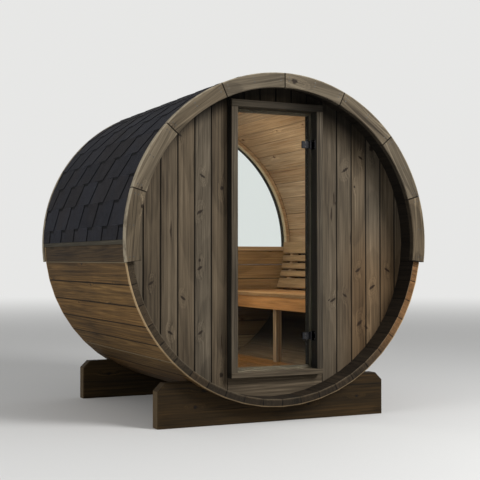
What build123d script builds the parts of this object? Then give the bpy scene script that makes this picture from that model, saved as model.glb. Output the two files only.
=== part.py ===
from build123d import *
import math
import os

# Barrel sauna lying on two cradles, front end towards -Y, standing on z = 0
# Driving sizes in millimetres and degrees
overall_length = 1950
stave_outer_radius = 1062
stave_thickness = 50
stave_count = 48
stave_arris = 3
stave_end_arris = 3
ground_clearance = 103
groove_depth = 10
fit_gap = 0.3
room_gap = 2

fascia_thickness = 40
fascia_overhang = 10
fascia_width = 95
fascia_arris = 4
fascia_joint = 2
fascia_board_count = 8
fascia_end_angle = 97.5
roof_edge_angle = 90

felt_thickness = 3.5
course_angle = 8.52
tab_pitch = 318
tab_bottom_width = 188
tab_slit = 3
tab_least = 25
ridge_share = 0.76

wall_recess_front = 200
wall_recess_rear = 60
wall_thickness = 40
board_pitch = 115
board_gap = 0.5
board_bevel = 4
board_least = 15

frame_left = -311
frame_width = 667
frame_corner_below_shell = 38.9
frame_corner_above_shell = 67.9
frame_proud = 60
frame_depth = 130
jamb_width = 45
frame_arris = 3
sill_height = 35
stop_width = 20
stop_depth = 48
packing_setback = 5
packing_least = 5

glass_thickness = 8
leaf_gap = 6
leaf_to_stop = 7
pin_back_from_leaf_edge = 8
pin_ahead_of_leaf = 8
hinge_inset = 210
hinge_height = 48
pin_radius = 3.5
knuckle_radius = 6
clamp_length = 62
clamp_plate = 5
hinge_plate_thickness = 4
hinge_plate_reach = 40
hinge_arm_height = 6
hinge_arm_thickness = 9
hinge_end_gap = 1
hinge_arris = 1.5

window_foot = -13
window_sill_height = 33
window_sill_proud = 15
bead_width = 34.7
bead_depth = 14

floor_above_shell = 139.7
floor_board_width = 104
floor_board_gap = 8
floor_board_thickness = 26
floor_arris = 3
bearer_width = 45

bench_height = 504
bench_shell_gap = 19.6
bench_slat_count = 5
bench_slat_width = 100
bench_slat_gap = 10
bench_slat_thickness = 28
bench_arris = 5
apron_height = 91
apron_thickness = 22
apron_setback = 5
post_size = 45
post_from_front = 909
bench_bearer_height = 70

backrest_depth = 69.7
backrest_thickness = 22
backrest_gap = 15
backrest_arris = 4
backrest_above_seat = 10.4
backrest_widths = (82, 48, 48, 48, 95)

cradle_half_width = 812
cradle_thickness = 88
cradle_setback = 140
cradle_height = 280
cradle_corner = 50
cradle_arris = 5

# Sizes that follow from the driving ones
front = -overall_length / 2
rear = overall_length / 2
stave_front = front + fascia_thickness
stave_rear = rear - fascia_thickness
half_step = 180 / stave_count
stave_step = 360 / stave_count
outer_apothem = stave_outer_radius * math.cos(math.radians(half_step))
inner_apothem = outer_apothem - stave_thickness
groove_apothem = inner_apothem + groove_depth
axis_height = stave_outer_radius + ground_clearance
fascia_outer_radius = stave_outer_radius + fascia_overhang
fascia_inner_radius = fascia_outer_radius - fascia_width
wall_front = front + wall_recess_front
wall_back = wall_front + wall_thickness
rear_wall_back = rear - wall_recess_rear
rear_wall_front = rear_wall_back - wall_thickness
frame_right = frame_left + frame_width
frame_corner = math.sqrt(inner_apothem**2 - max(-frame_left, frame_right) ** 2)
frame_top = frame_corner - frame_corner_below_shell
frame_bottom = frame_corner_above_shell - frame_corner
clear_left = frame_left + jamb_width
clear_right = frame_right - jamb_width
head_bottom = frame_top - jamb_width
sill_top = frame_bottom + sill_height
frame_front = wall_front - frame_proud
frame_back = frame_front + frame_depth
stop_front = frame_back - stop_depth
opening_boards = math.ceil((frame_width + packing_least) / board_pitch)
opening_right = frame_left + opening_boards * board_pitch
glass_back = stop_front - leaf_to_stop
glass_front = glass_back - glass_thickness
leaf_left = clear_left + leaf_gap
leaf_right = clear_right - leaf_gap
leaf_bottom = sill_top + leaf_gap
leaf_top = head_bottom - leaf_gap
pin_x = leaf_right - pin_back_from_leaf_edge
pin_y = glass_front - pin_ahead_of_leaf
floor_top = floor_above_shell - inner_apothem
bench_top = floor_top + bench_height
backrest_radius = inner_apothem - backrest_depth
bead_inner_radius = inner_apothem - bead_width


# Placing and shaping helpers
def polar(radius, angle):
    """Point on the barrel's cross-section, the angle counted from the top towards +X."""
    turn = math.radians(angle)
    return (radius * math.sin(turn), radius * math.cos(turn))


def between(a, b, share):
    """Point part of the way from a to b."""
    return tuple(p + (q - p) * share for p, q in zip(a, b))


def slab(outline, y_from, y_to):
    """Outline in x and height above the axis, carried along y."""
    corners = [Vector(x, y_from, axis_height + z) for x, z in outline]
    face = Face(Wire.make_polygon(corners, close=True))
    return extrude(face, amount=y_to - y_from, dir=(0, 1, 0))


def block(x_from, x_to, y_from, y_to, z_from, z_to):
    """Straight block between two corners, heights counted from the axis."""
    outline = [(x_from, z_from), (x_to, z_from), (x_to, z_to), (x_from, z_to)]
    return slab(outline, y_from, y_to)


def eased_board(x_from, x_to, y_from, y_to, z_from, z_to, arris):
    """Level board along the barrel with the arrises of its upper face taken off."""
    outline = [
        (x_from, z_from),
        (x_to, z_from),
        (x_to, z_to - arris),
        (x_to - arris, z_to),
        (x_from + arris, z_to),
        (x_from, z_to - arris),
    ]
    return slab(outline, y_from, y_to)


def ease_face(shape, y_face, arris, above=None):
    """Arrises taken off round the face at one end of a shape, above a height if one is given."""
    edges = shape.edges().filter_by_position(Axis.Y, y_face - 0.1, y_face + 0.1)
    if above is not None:
        edges = edges.filter_by(lambda edge: edge.center().Z > axis_height + above)
    return chamfer(edges, arris)


def pillar(plan, z_from, z_to):
    """Outline in x and y, carried upwards between two heights."""
    corners = [Vector(x, y, axis_height + z_from) for x, y in plan]
    face = Face(Wire.make_polygon(corners, close=True))
    return extrude(face, amount=z_to - z_from, dir=(0, 0, 1))


def round_bar(x, y, radius, z_from, z_to):
    """Upright round bar."""
    return Pos(x, y, axis_height + (z_from + z_to) / 2) * Cylinder(radius, z_to - z_from)


def many_sided(apothem):
    """Outline with one flat for each stave."""
    corner = apothem / math.cos(math.radians(half_step))
    return [polar(corner, stave_step * i) for i in range(stave_count)]


def clip(outline, axis, limit, keep_above):
    """Part of a convex outline on one side of a line along the other axis."""
    kept = []
    for a, b in zip(outline, outline[1:] + outline[:1]):
        a_in = (a[axis] >= limit) == keep_above or a[axis] == limit
        b_in = (b[axis] >= limit) == keep_above or b[axis] == limit
        if a_in:
            kept.append(a)
        if a_in != b_in and a[axis] != limit and b[axis] != limit:
            kept.append(between(a, b, (limit - a[axis]) / (b[axis] - a[axis])))
    return kept


def ring_piece(r_in, r_out, a_from, a_to, y_from, y_to):
    """Piece of a flat ring with radial ends."""
    a_mid = (a_from + a_to) / 2
    corner = [polar(r_in, a_from), polar(r_out, a_from), polar(r_out, a_to), polar(r_in, a_to)]
    middle = [polar(r_out, a_mid), polar(r_in, a_mid)]
    p = [Vector(x, y_from, axis_height + z) for x, z in corner]
    m = [Vector(x, y_from, axis_height + z) for x, z in middle]
    edges = [
        Edge.make_line(p[0], p[1]),
        Edge.make_three_point_arc(p[1], m[0], p[2]),
        Edge.make_line(p[2], p[3]),
        Edge.make_three_point_arc(p[3], m[1], p[0]),
    ]
    return extrude(Face(Wire(edges)), amount=y_to - y_from, dir=(0, 1, 0))


def about_axis(shape, angle):
    """Shape turned round the barrel's axis, clockwise as seen from the front."""
    return shape.rotate(Axis((0, 0, axis_height), (0, 1, 0)), angle)


os.makedirs("parts", exist_ok=True)


def save(name, solids):
    """One file for one named piece or group of like pieces."""
    shape = Compound(children=list(solids)) if isinstance(solids, (list, tuple)) else solids
    export_step(shape, "parts/" + name + ".step")


# Staves: bevelled boards whose side faces point at the axis, each with a groove near both ends
# that holds the end walls, and with its outer arrises taken off, along its length and at its ends
def make_stave():
    """The stave whose middle is at the top of the barrel."""
    slope = math.tan(math.radians(half_step))
    side = fit_gap / math.cos(math.radians(half_step))
    low = inner_apothem * slope - side
    high = outer_apothem * slope - side
    shoulder = high - stave_arris * slope
    outline = [
        (-low, inner_apothem),
        (low, inner_apothem),
        (shoulder, outer_apothem - stave_arris),
        (high - stave_arris, outer_apothem),
        (stave_arris - high, outer_apothem),
        (-shoulder, outer_apothem - stave_arris),
    ]
    stave = slab(outline, stave_front, stave_rear)
    top = axis_height + outer_apothem
    across = stave.edges().filter_by(Axis.X).filter_by_position(Axis.Z, top - 0.1, top + 0.1)
    stave = chamfer(across, stave_end_arris)
    for near, far in ((wall_front, wall_back), (rear_wall_front, rear_wall_back)):
        cut = (near - fit_gap, far + fit_gap)
        groove = block(-high, high, *cut, inner_apothem - fit_gap, groove_apothem)
        stave -= groove
    return stave


stave = make_stave()
group_size = stave_count // 12
for hour in range(12):
    group = []
    for i in range(group_size):
        group.append(about_axis(stave, (hour * group_size + i + 0.5) * stave_step))
    save(f"staves_{hour if hour else 12}_to_{hour + 1}", group)

# Roof: felt courses stepped up the barrel, and over them the rows of six-sided shingle tabs
# and a folded strip along the top
felt_radius = (stave_outer_radius + fit_gap) / math.cos(math.radians(course_angle / 2))
roof_front = stave_front + fit_gap
roof_rear = stave_rear - fit_gap
course_joint = 0.015


def course_ends(row):
    """Angles of the upper and lower edge of a course, counted from the top."""
    return row * course_angle + course_joint, (row + 1) * course_angle - course_joint


def felt_course(side, row, edge):
    """Wedge that is one felt thick at its upper edge and two at its lower edge."""
    upper, lower = course_ends(row)
    share = min(1, (edge - upper) / (lower - upper))
    inner = [polar(felt_radius, side * upper), polar(felt_radius, side * lower)]
    outer = [
        polar(felt_radius + felt_thickness, side * upper),
        polar(felt_radius + 2 * felt_thickness, side * lower),
    ]
    outline = [inner[0], outer[0], between(outer[0], outer[1], share), between(inner[0], inner[1], share)]
    return slab(outline, roof_front, roof_rear)


def tab_seat(side, row):
    """Upper and lower edge of a course's outer face, and the direction straight out of it."""
    upper, lower = course_ends(row)
    top = polar(felt_radius + felt_thickness, side * upper)
    foot = polar(felt_radius + 2 * felt_thickness, side * lower)
    along = Vector(foot[0] - top[0], 0, foot[1] - top[1])
    normal = Vector(0, 1, 0).cross(along).normalized()
    if normal.X * top[0] + normal.Z * top[1] < 0:
        normal = -normal
    return top, foot, normal


def tab_row(side, row, edge):
    """One row of tabs, wide at the top and narrow at the bottom, half a tab out of step each row."""
    upper, lower = course_ends(row)
    share = min(1, (edge - upper) / (lower - upper))
    top, foot, normal = tab_seat(side, row)
    first = roof_front + tab_pitch * (0.28 if row % 2 else 0.78)
    tabs = []
    for i in range(-1, int(overall_length / tab_pitch) + 2):
        middle = first + i * tab_pitch
        wide = (tab_pitch - tab_slit) / 2
        narrow = tab_bottom_width / 2
        outline = [(middle - wide, 0), (middle + wide, 0), (middle + narrow, 1), (middle - narrow, 1)]
        if middle + wide < roof_front + tab_least or middle - wide > roof_rear - tab_least:
            continue
        outline = clip(outline, 0, roof_front, True)
        outline = clip(outline, 0, roof_rear, False)
        if share < 1:
            outline = clip(outline, 1, share, False)
        corners = []
        for y, down in outline:
            x, z = between(top, foot, down)
            corners.append(Vector(x, y, axis_height + z))
        face = Face(Wire.make_polygon(corners, close=True))
        tabs.append(extrude(face, amount=felt_thickness, dir=normal))
    return tabs


rows = range(math.ceil(roof_edge_angle / course_angle))
for name, side in (("left", -1), ("right", 1)):
    save("roof_felt_" + name, [felt_course(side, row, roof_edge_angle) for row in rows])
    tabs = []
    for row in rows:
        tabs += tab_row(side, row, roof_edge_angle)
    save("shingle_tabs_" + name, tabs)

ridge_pieces = []
for side in (-1, 1):
    top, foot, normal = tab_seat(side, 0)
    edge = between(top, foot, ridge_share)
    outline = []
    for (x, z), rise in ((top, 1), (edge, 1), (edge, 2), (top, 2)):
        away = rise * felt_thickness + fit_gap
        outline.append((x + normal.X * away, z + normal.Z * away))
    count = round((roof_rear - roof_front) / tab_pitch)
    length = (roof_rear - roof_front) / count
    for i in range(count):
        start = roof_front + i * length
        ridge_pieces.append(slab(outline, start, start + length - 1))
save("ridge_cap", ridge_pieces)

# Fascia boards of one length, nailed over the upper stave ends
fascia_step = 2 * fascia_end_angle / fascia_board_count
joints = [fascia_end_angle - fascia_step * i for i in range(fascia_board_count + 1)]
board_joint = math.degrees(fascia_joint / 2 / fascia_outer_radius)
for end, near, far, face in (("front", front, stave_front, front), ("rear", stave_rear, rear, rear)):
    boards = []
    for a_to, a_from in zip(joints, joints[1:]):
        start, stop = a_from + board_joint, a_to - board_joint
        board = ring_piece(fascia_inner_radius, fascia_outer_radius, start, stop, near, far)
        boards.append(ease_face(board, face, fascia_arris))
    save(end + "_fascia_right", boards[: fascia_board_count // 2])
    save(end + "_fascia_left", boards[fascia_board_count // 2 :])

# Front wall: upright boards cut to the many-sided groove, beside and over the doorway
wall_outline = many_sided(groove_apothem - fit_gap)


def bevel_edges(board, axis, y_face):
    """Long edges of a board on one face, taken off for the V joint."""
    edges = board.edges().filter_by(axis).filter_by_position(Axis.Y, y_face - 0.1, y_face + 0.1)
    long_edges = [e for e in edges if e.length > 2.5 * board_bevel]
    return chamfer(long_edges, board_bevel) if long_edges else board


def upright_board(x_from, x_to, z_from=None):
    """Wall board between two joints, cut to the barrel and to a height if one is given."""
    outline = clip(wall_outline, 0, x_from + board_gap / 2, True)
    outline = clip(outline, 0, x_to - board_gap / 2, False)
    if z_from is not None:
        outline = clip(outline, 1, z_from, True)
    return bevel_edges(slab(outline, wall_front, wall_back), Axis.Z, wall_front)


reach = groove_apothem - fit_gap
left_boards = []
x = frame_left
while x > -reach + board_least:
    left_boards.append(upright_board(x - board_pitch, x))
    x -= board_pitch
save("front_wall_left", left_boards)
right_boards = []
x = opening_right
while x < reach - board_least:
    right_boards.append(upright_board(x, x + board_pitch))
    x += board_pitch
save("front_wall_right", right_boards)
over_door = []
for i in range(opening_boards):
    x = frame_left + i * board_pitch
    over_door.append(upright_board(x, x + board_pitch, frame_top + fit_gap))
save("front_wall_over_door", over_door)
under = clip(wall_outline, 0, frame_left + fit_gap, True)
under = clip(under, 0, opening_right - fit_gap, False)
under = clip(under, 1, frame_bottom - fit_gap, False)
save("board_under_door", slab(under, wall_front, wall_back))
packing = clip(wall_outline, 0, frame_right + fit_gap, True)
packing = clip(packing, 0, opening_right - fit_gap, False)
packing = clip(packing, 1, frame_bottom, True)
packing = clip(packing, 1, frame_top, False)
save("door_packing_strip", slab(packing, wall_front + packing_setback, wall_back))

# Door frame: rebated timbers, the head and sill running over the ends of the jambs
stop_left = clear_left + stop_width
stop_right = clear_right - stop_width
left_plan = [
    (frame_left, frame_front + frame_arris),
    (frame_left + frame_arris, frame_front),
    (clear_left - frame_arris, frame_front),
    (clear_left, frame_front + frame_arris),
    (clear_left, stop_front),
    (stop_left, stop_front),
    (stop_left, frame_back),
    (frame_left, frame_back),
]
right_plan = [
    (frame_right - frame_arris, frame_front),
    (frame_right, frame_front + frame_arris),
    (frame_right, frame_back),
    (stop_right, frame_back),
    (stop_right, stop_front),
    (clear_right, stop_front),
    (clear_right, frame_front + frame_arris),
    (clear_right + frame_arris, frame_front),
]
save("door_jamb_left", pillar(left_plan, sill_top + fit_gap, head_bottom - fit_gap))
save("door_jamb_right", pillar(right_plan, sill_top + fit_gap, head_bottom - fit_gap))
head = block(frame_left, frame_right, frame_front, frame_back, head_bottom, frame_top)
head = ease_face(head, frame_front, frame_arris)
head_stop = block(
    stop_left + fit_gap, stop_right - fit_gap, stop_front, frame_back, head_bottom - stop_width, head_bottom + 5
)
save("door_head", head + head_stop)
sill = block(frame_left, frame_right, frame_front, frame_back, frame_bottom, sill_top)
sill = ease_face(sill, frame_front, frame_arris)
sill_stop = block(
    stop_left + fit_gap, stop_right - fit_gap, stop_front, frame_back, sill_top - 5, sill_top + stop_width
)
save("door_sill", sill + sill_stop)

# Door leaf of plain glass, hung on the right on two clamp hinges with fixed pins
hinge_heights = (leaf_top - hinge_inset, leaf_bottom + hinge_inset)
leaf = block(leaf_left, leaf_right, glass_front, glass_back, leaf_bottom, leaf_top)
save("door_glass", leaf)
clamps = []
hinge_plates = []
for z in hinge_heights:
    low, high = z - hinge_height / 2, z + hinge_height / 2
    grip_end = pin_x - 2 * knuckle_radius
    plate_face = glass_front - clamp_plate
    face_plate = block(pin_x - clamp_length, pin_x, plate_face, glass_front, low, high)
    face_plate = ease_face(face_plate, plate_face, hinge_arris)
    knuckle = round_bar(pin_x, pin_y, knuckle_radius, low, high)
    clamp_bore = round_bar(pin_x, pin_y, pin_radius + fit_gap, low - 1, high + 1)
    back_face = glass_back + clamp_plate
    back_plate = block(pin_x - clamp_length, grip_end, glass_back, back_face, low, high)
    back_plate = ease_face(back_plate, back_face, hinge_arris)
    clamps += [face_plate + knuckle - clamp_bore, back_plate]
    near, far = pin_y - knuckle_radius, pin_y - knuckle_radius + hinge_arm_thickness
    reach_up = hinge_end_gap + hinge_arm_height
    plate_back = pin_y + knuckle_radius / 3
    plate_x = clear_right - hinge_plate_thickness
    arm_low, arm_high = low - reach_up, high + reach_up
    plate_near = pin_y - hinge_plate_reach
    plate = block(plate_x, clear_right, plate_near, plate_back, arm_low, arm_high)
    plate = ease_face(plate, plate_near, hinge_arris)
    bracket = plate + round_bar(pin_x, pin_y, pin_radius, arm_low, arm_high)
    for arm_from, arm_to in ((arm_low, low - hinge_end_gap), (high + hinge_end_gap, arm_high)):
        bracket += round_bar(pin_x, pin_y, knuckle_radius, arm_from, arm_to)
        bracket += block(pin_x, clear_right - hinge_plate_thickness / 2, near, far, arm_from, arm_to)
    hinge_plates.append(bracket)
save("hinge_clamps", clamps)
save("hinge_plates", hinge_plates)

# Rear wall: level boards below, a half-round pane of glass above, held by bent beads
rear_outline = many_sided(groove_apothem - fit_gap)
sill_foot = window_foot - window_sill_height
rear_boards = []
z = sill_foot - fit_gap
while z > -reach + board_least:
    outline = clip(rear_outline, 1, z, False)
    outline = clip(outline, 1, z - board_pitch + board_gap, True)
    board = slab(outline, rear_wall_front, rear_wall_back)
    rear_boards.append(bevel_edges(board, Axis.X, rear_wall_front))
    z -= board_pitch
save("rear_wall_boards", rear_boards)
sill_outline = clip(many_sided(inner_apothem - fit_gap), 1, window_foot, False)
sill_outline = clip(sill_outline, 1, sill_foot, True)
sill_near = rear_wall_front - window_sill_proud
sill_far = rear_wall_back + window_sill_proud - 5
save("window_sill", slab(sill_outline, sill_near, sill_far))
pane_front = (rear_wall_front + rear_wall_back - glass_thickness) / 2
pane_outline = clip(rear_outline, 1, window_foot + fit_gap, True)
save("window_glass", slab(pane_outline, pane_front, pane_front + glass_thickness))
bead_angle = 90 - math.degrees(math.asin((window_foot + fit_gap) / bead_inner_radius)) - 0.05
beads = []
for y_from in (pane_front - fit_gap - bead_depth, pane_front + glass_thickness + fit_gap):
    bead_outer = inner_apothem - fit_gap
    beads.append(ring_piece(bead_inner_radius, bead_outer, -bead_angle, bead_angle, y_from, y_from + bead_depth))
save("window_beads", beads)

# Floor boards along the barrel on three bearers shaped to the staves
room_front = wall_back + room_gap
room_rear = rear_wall_front - room_gap
fittings_front = frame_back + room_gap
inner_outline = many_sided(inner_apothem - fit_gap)
floor_foot = floor_top - floor_board_thickness
floor_step = floor_board_width + floor_board_gap
floor_reach = math.sqrt(inner_apothem**2 - floor_foot**2) - fit_gap
floor_board_count = int((2 * floor_reach + floor_board_gap) / floor_step)
floor_width = floor_board_count * floor_step - floor_board_gap
boards = []
for i in range(floor_board_count):
    x = -floor_width / 2 + i * floor_step
    ends = (x, x + floor_board_width, fittings_front, room_rear)
    boards.append(eased_board(*ends, floor_foot, floor_top, floor_arris))
save("floor_boards", boards)
bearers = []
room_length = room_rear - room_front
for share in (0.12, 0.5, 0.88):
    middle = room_front + room_length * share
    outline = clip(inner_outline, 1, floor_foot, False)
    bearers.append(slab(outline, middle - bearer_width / 2, middle + bearer_width / 2))
save("floor_bearers", bearers)

# Bench on the right: slats, apron, one post and three bearers
slat_foot = bench_top - bench_slat_thickness
slat_step = bench_slat_width + bench_slat_gap
bench_back = math.sqrt(inner_apothem**2 - slat_foot**2) - bench_shell_gap
bench_front = bench_back - bench_slat_count * slat_step + bench_slat_gap
slats = []
for i in range(bench_slat_count):
    x = bench_front + i * slat_step
    ends = (x, x + bench_slat_width, fittings_front, room_rear)
    slats.append(eased_board(*ends, slat_foot, bench_top, bench_arris))
save("bench_slats", slats)
apron_front = bench_front + apron_setback
apron_back = apron_front + apron_thickness
apron_foot = slat_foot - apron_height
save("bench_apron", block(apron_front, apron_back, fittings_front, room_rear, apron_foot, slat_foot))
post_y = front + post_from_front
bearer_foot = slat_foot - bench_bearer_height
save("bench_post", block(apron_back, apron_back + post_size, post_y, post_y + post_size, floor_top, bearer_foot))
bench_bearers = []
for y in (fittings_front, post_y, room_rear - bearer_width):
    outline = clip(inner_outline, 1, slat_foot, False)
    outline = clip(outline, 1, bearer_foot, True)
    outline = clip(outline, 0, apron_back, True)
    bench_bearers.append(slab(outline, y, y + bearer_width))
save("bench_bearers", bench_bearers)

# Backrest: boards laid round the curve from the seat up, on shaped supports
back_boards = []
board_rear = sill_near - room_gap
foot_sine = (-bench_top - backrest_above_seat) / (backrest_radius + backrest_thickness)
foot_angle = 90 + math.degrees(math.asin(foot_sine))
gap_angle = math.degrees(backrest_gap / backrest_radius)
angle = foot_angle
for width in backrest_widths:
    arc = math.degrees(width / backrest_radius)
    outline = [
        (backrest_arris - width / 2, backrest_radius),
        (width / 2 - backrest_arris, backrest_radius),
        (width / 2, backrest_radius + backrest_arris),
        (width / 2, backrest_radius + backrest_thickness),
        (-width / 2, backrest_radius + backrest_thickness),
        (-width / 2, backrest_radius + backrest_arris),
    ]
    back_boards.append(about_axis(slab(outline, room_front, board_rear), angle - arc / 2))
    angle -= arc + gap_angle
save("backrest_boards", back_boards)
supports = []
support_end = gap_angle / 2
for share in (0.08, 0.5, 0.92):
    middle = room_front + room_length * share
    support = ring_piece(
        backrest_radius + backrest_thickness - 2,
        inner_apothem - fit_gap,
        angle + gap_angle + support_end,
        foot_angle - support_end,
        middle - bearer_width / 2,
        middle + bearer_width / 2,
    )
    for board in back_boards:
        support -= board
    supports.append(support)
save("backrest_supports", supports)

# Cradles: thick timbers with corners taken off, hollowed to the flats of the staves
seat = many_sided(outer_apothem + fit_gap)
cradle_foot = -axis_height
cradle_top = cradle_foot + cradle_height
cradle_outline = [
    (-cradle_half_width, cradle_foot),
    (cradle_half_width, cradle_foot),
    (cradle_half_width, cradle_top - cradle_corner),
    (cradle_half_width - cradle_corner, cradle_top),
    (cradle_corner - cradle_half_width, cradle_top),
    (-cradle_half_width, cradle_top - cradle_corner),
]
front_cradle = front + cradle_setback
rear_cradle = rear - cradle_setback - cradle_thickness
for name, y in (("cradle_front", front_cradle), ("cradle_rear", rear_cradle)):
    timber = slab(cradle_outline, y, y + cradle_thickness)
    for face in (y, y + cradle_thickness):
        timber = ease_face(timber, face, cradle_arris, above=cradle_foot + 1)
    hollow = slab(seat, y - 1, y + cradle_thickness + 1)
    save(name, timber - hollow)
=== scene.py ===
# %% [markdown]
# # Barrel sauna
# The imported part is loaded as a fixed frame. Every board of it is already there at its real size, so this
# lesson is about looks: the grain of weathered and of planed softwood, the granules of bitumen shingles,
# clear glass and satin steel. All positions are in metres, with the ground at z = 0 and the barrel's axis
# along Y.

import math

import bpy
import numpy as np
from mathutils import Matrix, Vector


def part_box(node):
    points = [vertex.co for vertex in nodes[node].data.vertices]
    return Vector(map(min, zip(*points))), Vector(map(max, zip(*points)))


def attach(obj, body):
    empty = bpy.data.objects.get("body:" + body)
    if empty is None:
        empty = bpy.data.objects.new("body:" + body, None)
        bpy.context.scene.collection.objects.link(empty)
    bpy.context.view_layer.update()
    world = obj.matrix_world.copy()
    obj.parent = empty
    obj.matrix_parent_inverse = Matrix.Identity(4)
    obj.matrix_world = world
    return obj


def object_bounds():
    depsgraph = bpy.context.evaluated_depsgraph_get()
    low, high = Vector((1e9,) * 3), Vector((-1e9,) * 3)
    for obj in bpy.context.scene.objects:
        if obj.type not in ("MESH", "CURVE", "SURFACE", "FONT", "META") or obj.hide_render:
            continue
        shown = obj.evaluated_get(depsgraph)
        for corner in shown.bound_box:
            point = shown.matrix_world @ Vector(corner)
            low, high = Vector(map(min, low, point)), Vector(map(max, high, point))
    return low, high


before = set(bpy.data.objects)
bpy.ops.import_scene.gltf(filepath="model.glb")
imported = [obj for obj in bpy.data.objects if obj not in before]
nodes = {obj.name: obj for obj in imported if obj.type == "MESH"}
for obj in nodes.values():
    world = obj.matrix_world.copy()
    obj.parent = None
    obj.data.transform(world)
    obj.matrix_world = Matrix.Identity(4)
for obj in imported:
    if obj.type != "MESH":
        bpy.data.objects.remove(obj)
cad_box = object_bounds()

# %% [markdown]
# ## Where things are
# Most of the materials below ask where a point lies: on which board, inside or outside, how far from the
# roof's edge. A finish could be painted on each board by hand instead, but a question about place gives the
# same answer on every board and needs no image. The sizes that several questions share are named here once.

# %% Places read from the frame, in metres
stave_boxes = [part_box(name) for name in nodes if name.startswith("staves_")]
shell_low = np.min([low for low, high in stave_boxes], axis=0)
shell_high = np.max([high for low, high in stave_boxes], axis=0)
axis_height = round((shell_low[2] + shell_high[2]) / 2, 3)
shell_radius = round((shell_high[0] - shell_low[0]) / 2, 3)
half_length = cad_box[1][1]
frame_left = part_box("door_jamb_left")[0][0]
roof_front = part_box("ridge_cap")[0][1]
front_wall_low, front_wall_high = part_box("front_wall_left")
rear_wall_low, rear_wall_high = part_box("rear_wall_boards")
rear_boards_top = rear_wall_high[2]
front_wall_middle = (front_wall_low[1] + front_wall_high[1]) / 2
rear_wall_middle = (rear_wall_low[1] + rear_wall_high[1]) / 2

# The limits of the weather lie just under the walls' faces, and resin stays on the front face
weathered_before = front_wall_high[1] - 0.002
weathered_behind = rear_wall_high[1] - 0.003
resin_before = front_wall_low[1] + 0.015
print("barrel of radius", shell_radius, "with its axis at height", axis_height)

# %% How the boards divide, in metres and in degrees from the top of the barrel
board_pitch, stave_half_width = 0.115, 0.0693
stave_step, roof_edge, course_angle = 7.5, 90.0, 8.52
fascia_end, fascia_count = 13 * stave_step, 8
fascia_step = 2 * fascia_end / fascia_count
print("staves:", 360 / stave_step, "fascia boards at each end:", fascia_count)

# %% [markdown]
# ## A short way to write shader formulas
# A procedural finish is mostly arithmetic: how far is this point from the board's edge, which board is it
# on, how far from the heart of the tree was it cut. Math nodes can do all of that, but a formula of twenty
# nodes is hard to read. A small class lets a signal, that is a number which changes over the surface, be
# added and multiplied like any number, and each operation puts down one Math node.


# %% Signals that add and multiply as Math nodes
class Signal:
    """One output socket of a node tree, with arithmetic that adds Math nodes."""

    def __init__(self, tree, socket):
        self.tree, self.socket = tree, socket

    def calc(self, operation, *others):
        """The signal and up to two others through one Math node."""
        made = self.tree.nodes.new("ShaderNodeMath")
        made.operation = operation
        for socket, value in zip(made.inputs, (self, *others)):
            feed(self.tree, socket, value)
        return Signal(self.tree, made.outputs[0])

    def __add__(self, other):
        return self.calc("ADD", other)

    def __sub__(self, other):
        return self.calc("SUBTRACT", other)

    def __mul__(self, other):
        return self.calc("MULTIPLY", other)

    def __truediv__(self, other):
        return self.calc("DIVIDE", other)

    def floor(self):
        return self.calc("FLOOR")

    def fract(self):
        """What is left after the whole number."""
        return self.calc("FRACT")

    def size(self):
        """The number without its sign."""
        return self.calc("ABSOLUTE")

    def power(self, exponent):
        return self.calc("POWER", exponent)

    def above(self, limit):
        """One where the signal is over the limit, else zero."""
        return self.calc("GREATER_THAN", limit)

    def over(self, low, high, start=0.0, end=1.0):
        """Smooth passage from start to end while the signal goes from low to high."""
        made = self.tree.nodes.new("ShaderNodeMapRange")
        made.interpolation_type = "SMOOTHSTEP"
        for name, value in (("From Min", low), ("From Max", high), ("To Min", start), ("To Max", end)):
            feed(self.tree, made.inputs[name], value)
        feed(self.tree, made.inputs["Value"], self)
        return Signal(self.tree, made.outputs["Result"])


def feed(tree, socket, value):
    """Joins a signal to a socket, or sets a plain value there."""
    if isinstance(value, Signal):
        tree.links.new(value.socket, socket)
    else:
        socket.default_value = value


def distance(a, b):
    """Length of the side across from the right angle between a and b."""
    return (a * a + b * b).power(0.5)


print("signals ready")


# %% Vectors, noise and random numbers
def vector(tree, x, y, z):
    """Three signals as one vector."""
    made = tree.nodes.new("ShaderNodeCombineXYZ")
    for socket, value in zip(made.inputs, (x, y, z)):
        feed(tree, socket, value)
    return Signal(tree, made.outputs[0])


def parts_of(tree, value):
    """The three numbers of a vector or colour."""
    made = tree.nodes.new("ShaderNodeSeparateXYZ")
    feed(tree, made.inputs[0], value)
    return [Signal(tree, out) for out in made.outputs]


def noise(tree, place, detail=2.0, rough=0.5):
    """Soft noise around 0.5 that varies about once per unit of place."""
    made = tree.nodes.new("ShaderNodeTexNoise")
    made.noise_dimensions = "3D"
    made.inputs["Scale"].default_value = 1.0
    made.inputs["Detail"].default_value = detail
    made.inputs["Roughness"].default_value = rough
    feed(tree, made.inputs["Vector"], place)
    return Signal(tree, made.outputs[0])


def dice(tree, number):
    """Three random numbers from 0 to 1 that stay the same for one whole number."""
    made = tree.nodes.new("ShaderNodeTexWhiteNoise")
    made.noise_dimensions = "1D"
    feed(tree, made.inputs["W"], number)
    return parts_of(tree, Signal(tree, made.outputs["Color"]))


print("noise ready")


# %% Colours
def mixed(tree, share, a, b, way="MIX"):
    """Colour a passing into colour b as share goes from 0 to 1."""
    made = tree.nodes.new("ShaderNodeMix")
    made.data_type = "RGBA"
    made.blend_type = way
    feed(tree, made.inputs[0], share)
    feed(tree, made.inputs[6], a)
    feed(tree, made.inputs[7], b)
    return Signal(tree, made.outputs[2])


def shaded(tree, colour, factor):
    """Colour times a grey factor."""
    made = tree.nodes.new("ShaderNodeVectorMath")
    made.operation = "SCALE"
    feed(tree, made.inputs[0], colour)
    feed(tree, made.inputs["Scale"], factor)
    return Signal(tree, made.outputs[0])


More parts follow.
